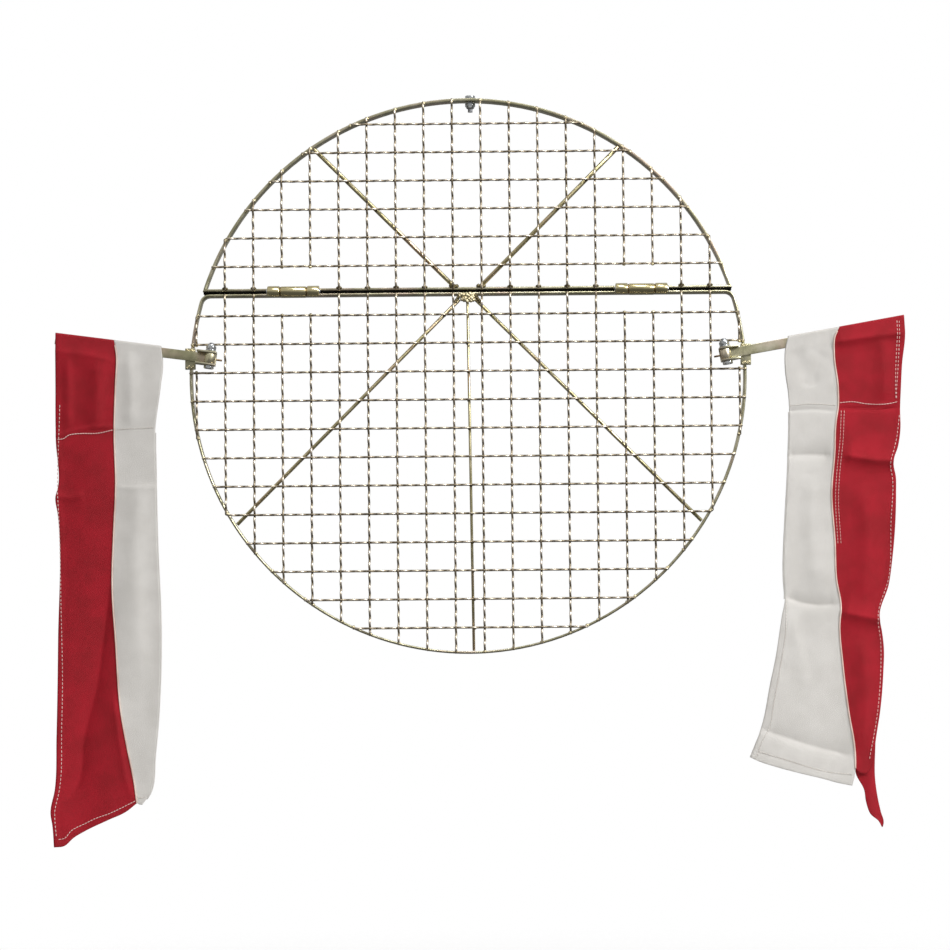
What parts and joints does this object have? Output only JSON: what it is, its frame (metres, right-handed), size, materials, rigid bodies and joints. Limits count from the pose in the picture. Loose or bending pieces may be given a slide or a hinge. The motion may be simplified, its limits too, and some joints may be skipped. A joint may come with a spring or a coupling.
{
  "type": "foldable round manhole guard grate with warning flags",
  "caption": "Round woven-wire guard grate that folds along a chord on two barrel hinges, with a swinging flag arm and a sliding red and white flag on each side.",
  "frame": {"origin": "centre of the round rim, in the plane of its back edges, which lie on the manhole's lid seat", "axes": "+X across the grate along its folding line, +Y out of its back, +Z in its plane towards the folding flap's top"},
  "size_m": [0.993, 0.0391, 0.8733],
  "materials": {
    "chromate_steel": "yellow-green chromated zinc plate on welded steel strip, rod and crimped woven wire, with darker weld marks",
    "gold_chromate": "bright golden chromated hinge barrels with a soft lengthways gloss",
    "zinc_steel": "bright blue-white zinc plate on bolts, lock nuts, washers and pins",
    "brass": "satin brass thrust washers between the hinge knuckles",
    "flag_cloth": "thin polyester flag cloth, red outer half and off-white inner half, stitched hems and sleeve"
  },
  "bodies": {
    "main": {"left_clevis": "chromate_steel", "left_foot_block": "chromate_steel", "left_hinge_middle_knuckle": "gold_chromate", "left_hinge_pin": "zinc_steel", "left_hinge_washer_a": "brass", "left_hinge_washer_b": "brass", "left_lug_pin": "chromate_steel", "left_pivot_bolt": "zinc_steel", "left_pivot_nut": "zinc_steel", "left_pivot_washer": "zinc_steel", "main_brace_centre": "chromate_steel", "main_brace_gusset": "chromate_steel", "main_brace_left": "chromate_steel", "main_brace_right": "chromate_steel", "main_frame": "chromate_steel", "main_mesh": "chromate_steel", "right_clevis": "chromate_steel", "right_foot_block": "chromate_steel", "right_hinge_middle_knuckle": "gold_chromate", "right_hinge_pin": "zinc_steel", "right_hinge_washer_a": "brass", "right_hinge_washer_b": "brass", "right_lug_pin": "chromate_steel", "right_pivot_bolt": "zinc_steel", "right_pivot_nut": "zinc_steel", "right_pivot_washer": "zinc_steel"},
    "flap": {"flap_brace_left": "chromate_steel", "flap_brace_right": "chromate_steel", "flap_chord_bar": "chromate_steel", "flap_mesh": "chromate_steel", "flap_rim": "chromate_steel", "hanging_bolt": "zinc_steel", "hanging_nut": "zinc_steel", "hanging_washer": "zinc_steel", "left_hinge_outer_knuckle_a": "gold_chromate", "left_hinge_outer_knuckle_b": "gold_chromate", "right_hinge_outer_knuckle_a": "gold_chromate", "right_hinge_outer_knuckle_b": "gold_chromate"},
    "left_arm": {"left_arm": "chromate_steel"},
    "right_arm": {"right_arm": "chromate_steel"},
    "left_flag": {"left_flag": "flag_cloth"},
    "right_flag": {"right_flag": "flag_cloth"}
  },
  "joints": [
    {"name": "grate_fold", "type": "hinge", "parent": "main", "child": "flap", "pos_m": [0, -0.027, 0.0985], "axis": [1, 0, 0], "range_deg": [0, 178]},
    {"name": "left_arm_swing", "type": "hinge", "parent": "main", "child": "left_arm", "pos_m": [-0.3, -0.0326, 0.022], "axis": [-0.1323, 0, -0.9912], "range_deg": [-160, 0]},
    {"name": "right_arm_swing", "type": "hinge", "parent": "main", "child": "right_arm", "pos_m": [0.3, -0.0326, 0.022], "axis": [-0.1719, 0, 0.9851], "range_deg": [-160, 0]},
    {"name": "left_flag_slide", "type": "slide", "parent": "left_arm", "child": "left_flag", "axis": [-0.9912, 0, 0.1323], "range_m": [0, 0.14]},
    {"name": "right_flag_slide", "type": "slide", "parent": "right_arm", "child": "right_flag", "axis": [0.9851, 0, 0.1719], "range_m": [0, 0.14]}
  ]
}
